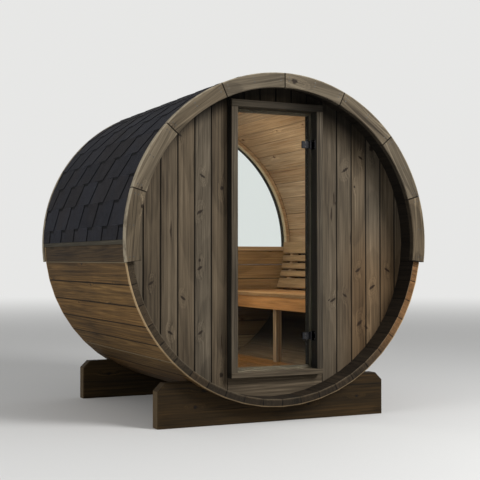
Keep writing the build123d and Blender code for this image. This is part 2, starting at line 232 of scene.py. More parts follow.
def paint(red, green, blue):
    """Screen colour from 0 to 255 as the linear colour that shaders use."""
    linear = []
    for value in (red, green, blue):
        share = value / 255
        linear.append(share / 12.92 if share < 0.0405 else ((share + 0.055) / 1.055) ** 2.4)
    return (*linear, 1.0)


print("white is", paint(255, 255, 255))


# %% Where a point is, and which way its face looks
def object_place(tree):
    """The point's own x, y and z in metres."""
    made = tree.nodes.new("ShaderNodeTexCoord")
    return parts_of(tree, Signal(tree, made.outputs["Object"]))


def face_direction(tree):
    """The three numbers of the face's outward direction."""
    made = tree.nodes.new("ShaderNodeTexCoord")
    return parts_of(tree, Signal(tree, made.outputs["Normal"]))


print("places ready")


# %% Groups that several materials use
def new_group(name, inputs, outputs):
    """An empty shader group with named sockets, and its given signals by name."""
    tree = bpy.data.node_groups.new(name, "ShaderNodeTree")
    kinds = {"number": "NodeSocketFloat", "colour": "NodeSocketColor"}
    for label, kind, value in inputs:
        socket = tree.interface.new_socket(label, in_out="INPUT", socket_type=kinds[kind])
        socket.default_value = value
    for label, kind in outputs:
        tree.interface.new_socket(label, in_out="OUTPUT", socket_type=kinds[kind])
    given = tree.nodes.new("NodeGroupInput")
    result = tree.nodes.new("NodeGroupOutput")
    return tree, {s.name: Signal(tree, s) for s in given.outputs if s.name}, result


def use_group(tree, group, **values):
    """Places a group and feeds its inputs, with _ in a name standing for a space."""
    made = tree.nodes.new("ShaderNodeGroup")
    made.node_tree = group
    for name, value in values.items():
        feed(tree, made.inputs[name.replace("_", " ")], value)
    return {s.name: Signal(tree, s) for s in made.outputs}


print("groups ready")


# %% Materials, and how they are put on the part
def new_material(name):
    """A new material with its node tree and its shader."""
    material = bpy.data.materials.new(name)
    material.use_nodes = True
    tree = material.node_tree
    return material, tree, tree.nodes["Principled BSDF"]


def finish_of(tree, shader, colour, rough, height, specular, bump=1.0):
    """Feeds a shader its colour, its roughness and its relief, which is a height in metres."""
    feed(tree, shader.inputs["Base Color"], colour)
    feed(tree, shader.inputs["Roughness"], rough)
    shader.inputs["Specular IOR Level"].default_value = specular
    relief = tree.nodes.new("ShaderNodeBump")
    relief.inputs["Strength"].default_value = bump
    relief.inputs["Distance"].default_value = 1.0
    feed(tree, relief.inputs["Height"], height)
    tree.links.new(relief.outputs[0], shader.inputs["Normal"])


def both_shaders(tree, share, a, b, output="Material Output"):
    """Shader a passes into shader b as share goes from 0 to 1."""
    both = tree.nodes.new("ShaderNodeMixShader")
    feed(tree, both.inputs[0], share)
    tree.links.new(a.outputs[0], both.inputs[1])
    tree.links.new(b.outputs[0], both.inputs[2])
    tree.links.new(both.outputs[0], tree.nodes[output].inputs[0])


def dress(material, *names):
    """Puts one material on CAD nodes."""
    for name in names:
        data = nodes[name].data
        data.materials.clear()
        data.materials.append(material)


print("materials ready")


# %% Pieces from rings of corners
def bands(ring_count, around):
    """Four-sided faces between neighbouring rings, each of which has as many corners as around says."""
    first_in_ring = np.arange(ring_count - 1)[:, None] * around
    step = np.arange(around)[None, :]
    here = (first_in_ring + step).ravel()
    beside = (first_in_ring + (step + 1) % around).ravel()
    return np.stack([here, beside, beside + around, here + around], 1).tolist()


def piece_of(name, points, faces, material):
    """A piece whose place is in its mesh, so the object itself stays at the origin."""
    mesh = bpy.data.meshes.new(name)
    mesh.from_pydata(points.reshape(-1, 3).tolist(), [], faces)
    mesh.materials.append(material)
    piece = bpy.data.objects.new(name, mesh)
    bpy.context.scene.collection.objects.link(piece)
    return piece


print("faces between two rings of four corners:", bands(2, 4))

# %% [markdown]
# ## Timber
# A board is a slice through a trunk. Its growth rings are cylinders round the tree's heart, so the pattern
# on any face is simply the distance to that heart, which lies a few centimetres behind the face and is
# tilted a little: where it comes near the face the rings show as pointed arches, and elsewhere as straight
# lines. Knots are branches that the rings flow round. A photograph of wood could be wrapped on the boards
# instead, but then all boards would share it and the end grain would not fit; a formula gives each board
# its own tree. The group gives a finished colour, a roughness and a relief, and each material feeds it with
# its own directions along and across the board.

# %% The timber group
timber, given, result = new_group(
    "timber",
    [
        ("Along", "number", 0.0),
        ("Across", "number", 0.0),
        ("Through", "number", 0.0),
        ("Board", "number", 0.0),
        ("Half Width", "number", 0.06),
        ("Ring Width", "number", 0.006),
        ("Ring Depth", "number", 0.3),
        ("Streaks", "number", 0.5),
        ("Knots", "number", 0.5),
        ("Cracks", "number", 0.5),
        ("Edge Dark", "number", 0.5),
        ("Board Change", "number", 0.25),
        ("Placed Knot", "number", 9.0),
        ("Placed Spindle", "number", 9.0),
        ("Light", "colour", paint(120, 108, 92)),
        ("Middle", "colour", paint(92, 80, 66)),
        ("Dark", "colour", paint(52, 44, 36)),
        ("Knot Colour", "colour", paint(38, 26, 18)),
    ],
    [("Colour", "colour"), ("Rough", "number"), ("Height", "number")],
)
along, across, through, board = (given[k] for k in ("Along", "Across", "Through", "Board"))
first, second, third = dice(timber, board)
seed = board * 3.17

# A knot sits in each cell of a coarse pattern, if the cell's own random colour says so
cell = timber.nodes.new("ShaderNodeTexVoronoi")
cell.voronoi_dimensions = "2D"
cell.inputs["Scale"].default_value = 1.0
cell.inputs["Randomness"].default_value = 0.85
knot_width, knot_length, nowhere = 0.13, 0.42, 9.0
cell_x = across / knot_width + first * 9.0 + 0.5
cell_y = along / knot_length + seed
feed(timber, cell.inputs["Vector"], vector(timber, cell_x, cell_y, 0.0))
centre_x, centre_y, _ = parts_of(timber, Signal(timber, cell.outputs["Position"]))
chance, sizing, _ = parts_of(timber, Signal(timber, cell.outputs["Color"]))
from_x = (cell_x - centre_x) * knot_width
from_y = (cell_y - centre_y) * knot_length
absent = chance.above(given["Knots"])
knot_size = sizing * 0.009 + 0.006
scattered = distance(from_x, from_y * 0.75) / knot_size + absent * nowhere
spindle = distance(from_x, from_y * 0.3) / knot_size + absent * nowhere
wobble = noise(timber, vector(timber, across * 70.0, along * 70.0, board), 2.0)
from_knot = scattered.calc("MINIMUM", given["Placed Knot"]) + (wobble - 0.5) * 1.3
knot = from_knot.over(0.7, 1.0, 1.0, 0.0)
from_spindle = spindle.calc("MINIMUM", given["Placed Spindle"]) + (wobble - 0.5) * 1.0
halo = from_spindle.over(0.9, 3.6, 1.0, 0.0)

# The rings: distance to a heart that lies behind the face and leans a little
slow = noise(timber, vector(timber, across * 4.0, along * 0.9, seed), 2.0)
quick = noise(timber, vector(timber, across * 30.0, along * 2.5, seed), 2.0)
lean = (third - 0.5) * 0.05
heart_x = across + (first - 0.5) * 0.09 + (slow - 0.5) * 0.04
heart_z = second * 0.05 + 0.014 + along * lean + through
from_heart = distance(heart_x, heart_z) + (quick - 0.5) * 0.003 + halo * halo * 0.022
ring = (from_heart / given["Ring Width"]).fract()
late = ring.over(0.2, 0.9) * ring.over(0.92, 1.0, 1.0, 0.0)

# Fibres, grain, broad weather streaks and fine drying cracks all run along the board
fibre = noise(timber, vector(timber, across * 420.0, along * 9.0, through * 420.0 + seed), 3.0, 0.6)
bend = halo * 1.2
grain = noise(timber, vector(timber, across * 130.0 + bend, along * 2.4, through * 60.0 + seed), 3.0, 0.7)
streak = noise(timber, vector(timber, across * 60.0 + bend, along * 0.9, seed), 4.0, 0.65)
cloud = noise(timber, vector(timber, across * 6.0, along * 1.6, seed), 3.0)
split = noise(timber, vector(timber, across * 120.0 + bend * 2.0, along * 1.7, seed + 5.0), 2.0)
crack = split.over(0.67, 0.72) * given["Cracks"]
edge = across.size().over(given["Half Width"] - 0.0072, given["Half Width"] - 0.0034)

tone = (streak - 0.5) * given["Streaks"] * 3.2 + (cloud - 0.5) * 0.8 + 0.5
base = mixed(timber, tone.over(0.05, 0.55), given["Dark"], given["Middle"])
base = mixed(timber, tone.over(0.5, 1.0), base, given["Light"])
base = mixed(timber, third * 0.9, base, mixed(timber, 1.0, base, (1.06, 0.97, 0.86, 1.0), "MULTIPLY"))
board_tone = (second - 0.5) * given["Board Change"] * 2.0
lightness = (fibre - 0.5) * 0.35 + (grain - 0.5) * 1.5 + 1.0 - late * given["Ring Depth"] + board_tone
lightness = lightness * (edge * given["Edge Dark"]).calc("MULTIPLY_ADD", -1.0, 1.0)
lightness = lightness * crack.calc("MULTIPLY_ADD", -0.75, 1.0)
collar = from_spindle.over(0.9, 1.4) * from_spindle.over(1.5, 3.2, 1.0, 0.0)
lightness = lightness * from_knot.over(0.95, 1.35, 0.6, 1.0) * (collar * 0.14 + 1.0)
base = shaded(timber, base, lightness)
base = mixed(timber, knot * 0.9, base, given["Knot Colour"])
height = fibre * 0.0003 + grain * 0.0005 - late * 0.0003 - crack * 0.0012 + knot * 0.0005
rough = fibre * 0.16 + 0.66 + crack * 0.1 - knot * 0.12
for name, value in (("Colour", base), ("Rough", rough), ("Height", height)):
    feed(timber, result.inputs[name], value)
print("timber group:", len(timber.nodes), "nodes")

# %% [markdown]
# ## How boards lie
# The same timber is fed with different directions. On the front wall boards stand upright, on the rear wall
# they lie level, round the barrel each stave has its own seven and a half degrees, and each fascia board was
# sawn from a straight plank, so its grain keeps the plank's direction while its edges are curved.


# %% Directions along and across the boards
no_neighbour = 9.0


def rows_of(value, start, pitch):
    """Number of the board and the distance from its middle, for boards side by side."""
    steps = (value - start) / pitch
    number = steps.floor()
    return number, (steps - number - 0.5) * pitch


def upright(tree, x, y, z):
    """Upright boards side by side, counted from the door frame."""
    number, across = rows_of(x, frame_left, board_pitch)
    return dict(Along=z, Across=across, Through=y, Board=number, Half_Width=board_pitch / 2)


def level(tree, x, y, z):
    """Level boards one above the other, counted down from the window sill."""
    number, across = rows_of(z, rear_boards_top, board_pitch)
    return dict(Along=x, Across=across, Through=y, Board=number + 40.0, Half_Width=board_pitch / 2)


def post(tree, x, y, z):
    """A single upright timber, its number changing from one side of the building to the other."""
    number = (x * 1.7).floor() + 90.0
    return dict(Along=z, Across=x, Through=y, Board=number, Half_Width=no_neighbour)


def rail(tree, x, y, z):
    """A single level timber across the building."""
    number = (z * 0.9 + y * 0.7).floor() + 70.0
    return dict(Along=x, Across=z, Through=y, Board=number, Half_Width=no_neighbour)


def lengthwise(start, pitch, first_number=120.0):
    """Boards that run the barrel's length, side by side in x."""

    def lay(tree, x, y, z):
        number, across = rows_of(x, start, pitch)
        counted = number + first_number
        return dict(Along=y, Across=across, Through=z, Board=counted, Half_Width=pitch / 2)

    return lay


def turn_about_axis(tree, x, z):
    """Distance from the barrel's axis, and the turn from the top in degrees, clockwise from the front."""
    up = z - axis_height
    angle = x.calc("ARCTAN2", up) * (180 / math.pi)
    return distance(x, up), angle


def round_barrel(tree, x, y, z):
    """Staves: seven and a half degrees each."""
    radius, angle = turn_about_axis(tree, x, z)
    number, offset = rows_of(angle, 0.0, stave_step)
    across = offset * radius * (math.pi / 180)
    counted = number + 200.0
    return dict(Along=y, Across=across, Through=radius - 1.0, Board=counted, Half_Width=stave_half_width)


def fascia(tree, x, y, z):
    """Fascia boards: straight planks sawn to a curve, with the grain in the plank's direction."""
    radius, angle = turn_about_axis(tree, x, z)
    number, offset = rows_of(angle, -fascia_end, fascia_step)
    middle = offset * (math.pi / 180)
    along = radius * middle.calc("SINE") + number
    across = radius * middle.calc("COSINE") - 1.02
    counted = number + 300.0 + y.above(0.0) * 20.0
    return dict(Along=along, Across=across, Through=y, Board=counted, Half_Width=no_neighbour)


def nearest_mark(tree, x, z, marks, slope=0.0):
    """Distance to the nearest of some marks (x, z, half width, half length), in their own half sizes.

    With a slope, the marks rise and fall to the right by turns.
    """
    nearest = None
    for turn, (mark_x, mark_z, half_wide, half_long) in enumerate(marks):
        aside = x - mark_x
        above = z - mark_z + aside * (slope if turn % 2 else -slope)
        reach = distance(aside / half_wide, above / half_long)
        nearest = reach if nearest is None else nearest.calc("MINIMUM", reach)
    return nearest


print("board directions ready")


# %% [markdown]
# ## Timber materials
# The same softwood looks different by what it has lived through. Outside it has been rained on for years and
# has gone grey-brown, with dark joints; the lower staves, sheltered by the roof's edge, have kept more of
# their golden brown. Inside it is planed and only warmed by heat.


# %% A material from a lay of boards and a set of colours
timber_specular = 0.12


def timber_material(name, lay, colours, bump=1.0, more=None, marks=None, other=None, where=None, **amounts):
    """A material whose colour, roughness and relief come from the timber group.

    Where the function given as where says one, the board has the other set of colours. The function given as
    more changes the colour once it is there, and marks are knots listed one by one.
    """
    material, tree, shader = new_material(name)
    x, y, z = object_place(tree)
    tones = [paint(*c) for c in colours]
    if other:
        side = where(tree, x, y, z)
        tones = [mixed(tree, side, tone, paint(*c)) for tone, c in zip(tones, other)]
    light, middle, dark, knot_colour = tones
    if marks:
        slope = 0.55
        branches = [(at_x, at_z, wide * 1.6, long * 0.85) for at_x, at_z, wide, long in marks]
        spindles = [(at_x, at_z, wide * 1.2, long * 2.4) for at_x, at_z, wide, long in marks]
        amounts["Placed_Knot"] = nearest_mark(tree, x, z, branches, slope)
        amounts["Placed_Spindle"] = nearest_mark(tree, x, z, spindles, slope)
    amounts.update(Light=light, Middle=middle, Dark=dark, Knot_Colour=knot_colour)
    out = use_group(tree, timber, **lay(tree, x, y, z), **amounts)
    colour = more(tree, x, y, z, out["Colour"]) if more else out["Colour"]
    finish_of(tree, shader, colour, out["Rough"], out["Height"], timber_specular, bump)
    return material


print("timber material ready")

# %% Colours from light to dark, and the colour of the knots
weathered = ((120, 109, 93), (88, 79, 66), (52, 45, 37), (34, 25, 18))
# A shaded colour for the staves in the recess and under the roof's edge: painted shade
recess_in_shade = ((62, 54, 44), (44, 38, 31), (27, 23, 19), (18, 13, 9))
# Lit and shaded copies of the stave ends: painted light and painted shade
lit_sawn_ends = ((146, 110, 74), (112, 83, 54), (76, 56, 36), (40, 26, 16))
shaded_sawn_ends = ((84, 72, 58), (62, 53, 41), (40, 34, 26), (26, 20, 14))
golden = ((156, 124, 76), (112, 86, 51), (68, 52, 32), (42, 27, 15))
frame_grey = ((112, 104, 89), (84, 76, 64), (52, 46, 38), (32, 25, 18))
fascia_grey = ((124, 114, 97), (93, 84, 70), (57, 50, 41), (36, 27, 19))
lath_grey = ((84, 80, 68), (62, 58, 48), (40, 36, 29), (26, 20, 14))
cradle_brown = ((66, 50, 28), (46, 35, 18), (26, 20, 10), (16, 11, 7))
warm = ((210, 184, 150), (186, 158, 122), (154, 121, 85), (110, 71, 44))
walked = ((176, 126, 62), (140, 98, 46), (92, 62, 28), (56, 36, 16))
in_shade = ((60, 49, 24), (44, 35, 16), (30, 23, 10), (22, 16, 7))
bench_pale = ((210, 172, 124), (192, 149, 100), (160, 119, 74), (106, 66, 34))
apron_tan = ((208, 156, 100), (188, 134, 80), (152, 104, 58), (100, 58, 24))
back_tan = ((200, 176, 138), (172, 148, 112), (132, 108, 76), (94, 66, 40))
room_shade = ((178, 150, 106), (152, 124, 84), (120, 93, 58), (86, 58, 34))
print("weathered boards, light:", [round(v, 3) for v in paint(*weathered[0])])

# %% Knots and resin that stand out on the front wall: x, height, half width, half length
wall_knots = [
    (-0.505, 1.346, 0.013, 0.012), (-0.488, 1.575, 0.011, 0.010), (-0.505, 0.991, 0.010, 0.012),
    (-0.652, 1.834, 0.012, 0.010), (-0.834, 0.899, 0.010, 0.010), (-0.620, 0.803, 0.010, 0.011),
    (0.561, 1.651, 0.014, 0.012), (0.684, 1.738, 0.010, 0.010), (0.662, 0.973, 0.012, 0.012),
    (0.896, 0.972, 0.012, 0.010), (0.774, 0.856, 0.013, 0.012), (0.366, 0.908, 0.010, 0.012),
    (0.466, 0.773, 0.013, 0.010), (0.559, 0.801, 0.010, 0.009), (0.673, 0.613, 0.013, 0.015),
    (0.725, 0.584, 0.009, 0.011), (-0.501, 0.582, 0.010, 0.011), (-0.707, 0.588, 0.011, 0.010),
    (0.435, 0.773, 0.005, 0.005),
]
resin_streaks = [
    (0.454, 1.350, 0.009, 0.065), (0.474, 1.455, 0.007, 0.060), (0.485, 1.425, 0.007, 0.016),
    (-0.702, 1.215, 0.007, 0.090), (-0.352, 0.535, 0.006, 0.080), (0.600, 1.190, 0.005, 0.060),
]
print("knots:", len(wall_knots), "resin streaks:", len(resin_streaks))


# %% The front wall
def with_weather_and_crown_shade(tree, x, y, z, colour):
    """Redder wood at the lower right, painted shade under the crown, and resin that has run down along the
    grain.
    """
    outside = y.calc("LESS_THAN", weathered_before)
    radius, angle = turn_about_axis(tree, x, z)
    redder = x.over(0.40, 0.75) * z.over(1.45, 0.85) * outside
    colour = mixed(tree, redder, colour, mixed(tree, 1.0, colour, (1.12, 0.92, 0.72, 1.0), "MULTIPLY"))
    # Painted shade on the wall near the shell under the crown of the barrel
    crown_shade = radius.over(0.87, 0.97) * angle.size().over(35.0, 75.0, 0.86, 0.0) * outside
    colour = shaded(tree, colour, crown_shade * -1.0 + 1.0)
    waver = (noise(tree, vector(tree, x * 60.0, 0.0, z * 12.0), 2.0) - 0.5) * 0.02
    resin = nearest_mark(tree, x + waver, z, resin_streaks).over(0.45, 1.0, 0.85, 0.0)
    resin = resin * y.calc("LESS_THAN", resin_before)
    return mixed(tree, resin, colour, paint(*weathered[3]))


def room_side_of_front_wall(tree, x, y, z):
    """One on the planed side of the front wall."""
    return y.above(weathered_before)


def outside_of_rear_wall(tree, x, y, z):
    """One on the weathered side of the rear wall."""
    return y.above(weathered_behind)


wall_boards = timber_material(
    "weathered upright boards", upright, weathered, more=with_weather_and_crown_shade, marks=wall_knots,
    other=warm, where=room_side_of_front_wall,
    Ring_Width=0.009, Ring_Depth=0.18, Streaks=0.36, Knots=0.16, Cracks=0.6, Edge_Dark=0.8, Board_Change=0.2,
)
dress(wall_boards, "front_wall_left", "front_wall_right", "front_wall_over_door")
sill_board = timber_material(
    "weathered level board", rail, weathered, other=warm, where=room_side_of_front_wall,
    Ring_Depth=0.24, Streaks=0.5, Knots=0.5, Cracks=0.5,
)
dress(sill_board, "board_under_door")
print("front wall ready")


# %% The door frame
def with_frame_shade(tree, x, y, z, colour):
    """Painted shade on the side faces beside the leaf, and a painted shadow on the head under the crown."""
    turned, _, _ = face_direction(tree)
    crown_shadow = z.over(2.018, 2.028) * x.over(-0.30, 0.30, 0.50, 0.74)
    dark = (turned.size().above(0.9) * 0.8).calc("MAXIMUM", crown_shadow)
    return mixed(tree, dark, colour, paint(14, 16, 16))


# The frame timbers, with painted shade on their sides and a painted shadow on the head
shaded_frame = dict(more=with_frame_shade, Ring_Depth=0.2, Streaks=0.5, Knots=0.08, Cracks=0.5)
frame_upright = timber_material("grey frame, upright", post, frame_grey, **shaded_frame)
dress(frame_upright, "door_jamb_left", "door_jamb_right", "door_packing_strip")
frame_level = timber_material("grey frame, level", rail, frame_grey, **shaded_frame)
dress(frame_level, "door_head", "door_sill")
print("door frame ready")


# %% The fascia boards
def with_rim_highlight_and_shade(tree, x, y, z, colour):
    """A pale outer corner, worn and with a painted highlight, dirt in the joints, and painted shade on the
    inward faces.
    """
    radius, angle = turn_about_axis(tree, x, z)
    _, offset = rows_of(angle, -fascia_end, fascia_step)
    from_joint = (offset.size() - fascia_step / 2) * radius * (math.pi / -180)
    patchy = noise(tree, vector(tree, x * 22.0, y * 22.0, z * 22.0), 3.0)
    # A painted highlight along the outer corner, patchy like wear
    worn = radius.over(shell_radius, shell_radius + 0.009) * patchy.over(0.3, 0.6, 0.25, 0.8)
    colour = mixed(tree, worn, colour, paint(164, 153, 132))
    colour = mixed(tree, from_joint.over(0.0015, 0.006, 0.8, 0.0), colour, paint(20, 17, 14))
    # Painted shade on the inward faces
    turned_x, _, turned_z = face_direction(tree)
    outward = (turned_x * x + turned_z * (z - axis_height)) / radius
    return mixed(tree, outward.over(-0.9, -0.6, 0.72, 0.0), colour, paint(18, 15, 12))


fascia_boards = timber_material(
    "weathered fascia", fascia, fascia_grey, more=with_rim_highlight_and_shade,
    Ring_Width=0.008, Ring_Depth=0.26, Streaks=0.55, Knots=0.25, Cracks=0.6, Board_Change=0.2,
)
dress(fascia_boards, "front_fascia_left", "front_fascia_right", "rear_fascia_left", "rear_fascia_right")
print("fascia ready,", fascia_count, "boards at each end")


# %% The cradles
def with_lit_cradle_ends(tree, x, y, z, colour):
    """Sawn ends painted paler than the faces, a painted highlight."""
    turned, _, _ = face_direction(tree)
    return mixed(tree, turned.size().over(0.6, 0.95, 0.0, 0.3), colour, paint(128, 108, 80))


cradle_timber = timber_material(
    "dark sawn cradle", rail, cradle_brown, more=with_lit_cradle_ends,
    Ring_Width=0.008, Ring_Depth=0.22, Streaks=0.5, Knots=0.4, Cracks=0.7,
)
dress(cradle_timber, "cradle_front", "cradle_rear")
print("cradles ready")

# %% Planed boards of the bench, the floor and the backrest
inside = dict(
    Ring_Depth=0.16, Streaks=0.4, Knots=0.22, Cracks=0.0, Edge_Dark=0.6, Board_Change=0.12, bump=0.5
)
slat_boards = timber_material("planed slats", lengthwise(start=0.3651, pitch=0.110), bench_pale, **inside)
dress(slat_boards, "bench_slats")
floor_timber = timber_material("planed floor boards", lengthwise(start=-0.448, pitch=0.112), walked, **inside)
dress(floor_timber, "floor_boards")
apron_timber = timber_material("planed apron", lengthwise(start=0.30, pitch=0.5), apron_tan, **inside)
dress(apron_timber, "bench_apron")
back_timber = timber_material("planed backrest", lengthwise(start=0.30, pitch=0.5), back_tan, **inside)
dress(back_timber, "backrest_boards")
cross_timber = timber_material("planed cross timbers", rail, warm, **inside)
dress(cross_timber, "floor_bearers", "bench_bearers", "backrest_supports")
post_timber = timber_material("planed post", post, warm, **inside)
dress(post_timber, "bench_post")
print("room timbers ready")


# %% The rear wall and its window
def with_shade_below_seat(tree, x, y, z, colour):
    """The inner face of the rear wall, with painted shade below the seat."""
    seat_shade = z.over(0.62, 0.84, 0.42, 0.0) * y.calc("LESS_THAN", weathered_behind)
    return mixed(tree, seat_shade, colour, paint(26, 22, 12))


rear_timber = timber_material(
    "level boards, planed inside", level, room_shade, more=with_shade_below_seat,
    other=weathered, where=outside_of_rear_wall, **inside
)
dress(rear_timber, "rear_wall_boards")
window_timber = timber_material(
    "window timbers, planed inside", rail, warm, other=weathered, where=outside_of_rear_wall, **inside
)
dress(window_timber, "window_sill")


def with_pale_edge(tree, x, y, z, colour):
    """The beads, painted paler in a narrow band along their inner edge."""
    radius, _ = turn_about_axis(tree, x, z)
    return mixed(tree, radius.over(0.980, 0.984, 0.7, 0.0), colour, paint(238, 218, 178))


bead_timber = timber_material(
    "window beads with a pale edge", rail, warm, more=with_pale_edge,
    other=weathered, where=outside_of_rear_wall, **inside
)
dress(bead_timber, "window_beads")
print("timber materials:", len([m for m in bpy.data.materials if m.use_nodes]))

# %% [markdown]
# ## Staves
# A stave is one board with two lives: its outer face is weathered and its inner face, inside the room, is
# planed and warm. Two materials on one solid would need its mesh to be cut, so one material asks where the
# point is. The radius tells outer from inner face, and the distance along the barrel tells the room from the
# open recess in front of the wall.

# %% Where on a stave a point lies
stave_material, tree, shader = new_material("staves, weathered outside and warm inside")
x, y, z = object_place(tree)
radius, angle = turn_about_axis(tree, x, z)
turned = angle.size()
# Painted shade on the first stave under the roof's edge, fading below it
shade_under_roof = turned.over(fascia_end - 0.2, fascia_end + 0.2, 0.72, 0.3)
shade_under_roof = shade_under_roof * turned.over(fascia_end, 106.0, 1.0, 0.0)
inner_face = radius.over(1.0135, 1.0125)
outer_face = radius.over(1.0582, 1.0602)
in_room = inner_face * y.above(front_wall_middle) * y.calc("LESS_THAN", rear_wall_middle)
rim_highlight = radius.over(1.0525, 1.0555) * y.size().over(0.912, 0.924)
at_end = y.size().above(0.9345) * radius.calc("LESS_THAN", 1.0582)
# Painted light on the stave ends at the lower right, painted shade on the other ends
lit_stave_ends = z.over(0.25, 0.75) * x.over(0.35, 0.85)
# Painted shade on the room side below the seat and behind the backrest, lighter again near the floor
stave_shade_low = z.over(0.55, 0.80, 1.0, 0.0) * z.over(0.28, 0.44, 0.62, 1.0)
shade_behind_backrest = x.above(0.90) * z.above(0.78) * z.calc("LESS_THAN", 1.13)
stave_shade_low = stave_shade_low.calc("MAXIMUM", shade_behind_backrest)
print("stave masks ready")

# %% The staves' colours by place
colours = []
palettes = (golden, recess_in_shade, lit_sawn_ends, shaded_sawn_ends, warm, in_shade)
for rained_on, shaded_recess, sawn, shaded_end, planed, darkened in zip(*palettes):
    shell = mixed(tree, shade_under_roof, paint(*rained_on), paint(*shaded_recess))
    colour = mixed(tree, outer_face, paint(*shaded_recess), shell)
    colour = mixed(tree, at_end, colour, mixed(tree, lit_stave_ends, paint(*shaded_end), paint(*sawn)))
    colours.append(mixed(tree, in_room, colour, mixed(tree, stave_shade_low, paint(*planed), paint(*darkened))))
amounts = dict(zip(("Light", "Middle", "Dark", "Knot_Colour"), colours))
outside_and_in = {
    "Ring_Depth": (0.26, 0.16),
    "Streaks": (0.4, 0.4),
    "Knots": (0.3, 0.3),
    "Cracks": (0.5, 0.0),
    "Edge_Dark": (0.8, 0.6),
    "Board_Change": (0.12, 0.1),
}
for name, (outside, inside_room) in outside_and_in.items():
    amounts[name] = in_room * (inside_room - outside) + outside
stave = use_group(tree, timber, **round_barrel(tree, x, y, z), Ring_Width=0.009, **amounts)
print("stave colours:", len(palettes), "sets")

# %% Painted shade and highlights on the staves
# Painted shade: darker towards the bottom of the outer shell, and in the recess darkest at its sides
shade_low_on_shell = z.over(0.15, 0.62, 0.55, 0.0) * radius.above(1.02)
recess_shade = inner_face * y.calc("LESS_THAN", front_wall_middle) * turned.over(100.0, 132.0, 0.6, 0.0)
colour = shaded(tree, stave["Colour"], shade_low_on_shell.calc("MAXIMUM", recess_shade) * -1.0 + 1.0)
# A painted highlight along the outer rim at the ends, stronger higher up
colour = mixed(tree, rim_highlight * z.over(0.15, 0.85, 0.22, 0.66), colour, paint(196, 168, 128))

# Two joints on the left have a painted highlight along their corner
left = angle * -1.0
upper_joint, lower_joint = fascia_end, 18 * stave_step
from_lit_arris = (left - upper_joint).size().calc("MINIMUM", (left - lower_joint).size())
lit_arris = from_lit_arris.over(0.10, 0.22, 0.55, 0.0)
colour = mixed(tree, lit_arris * outer_face, colour, paint(186, 166, 132))
# A painted highlight along the inner rim of the stave ends
inner_rim_highlight = at_end * radius.over(1.0115, 1.0155, 1.0, 0.0)
colour = mixed(tree, inner_rim_highlight * 0.2, colour, paint(150, 138, 116))
finish_of(tree, shader, colour, stave["Rough"], stave["Height"], timber_specular)
stave_nodes = [name for name in nodes if name.startswith("staves_")]
dress(stave_material, *stave_nodes)
print("stave nodes dressed:", len(stave_nodes))

# %% [markdown]
# ## Shingles
# A bitumen shingle is felt covered in crushed slate. From a few metres it is a soft charcoal in which each
# tab differs a little; close by it sparkles with granules a millimetre or so across. Both scales are in the
# material: a random tone for each tab, and a cell pattern for the granules that also gives the relief.


# %% Granules on felt
tab_pitch, tab_bottom_width, ridge_piece = 0.318, 0.188, 0.3116
ridge_cap_edge, granules_per_metre = 6.46, 620.0


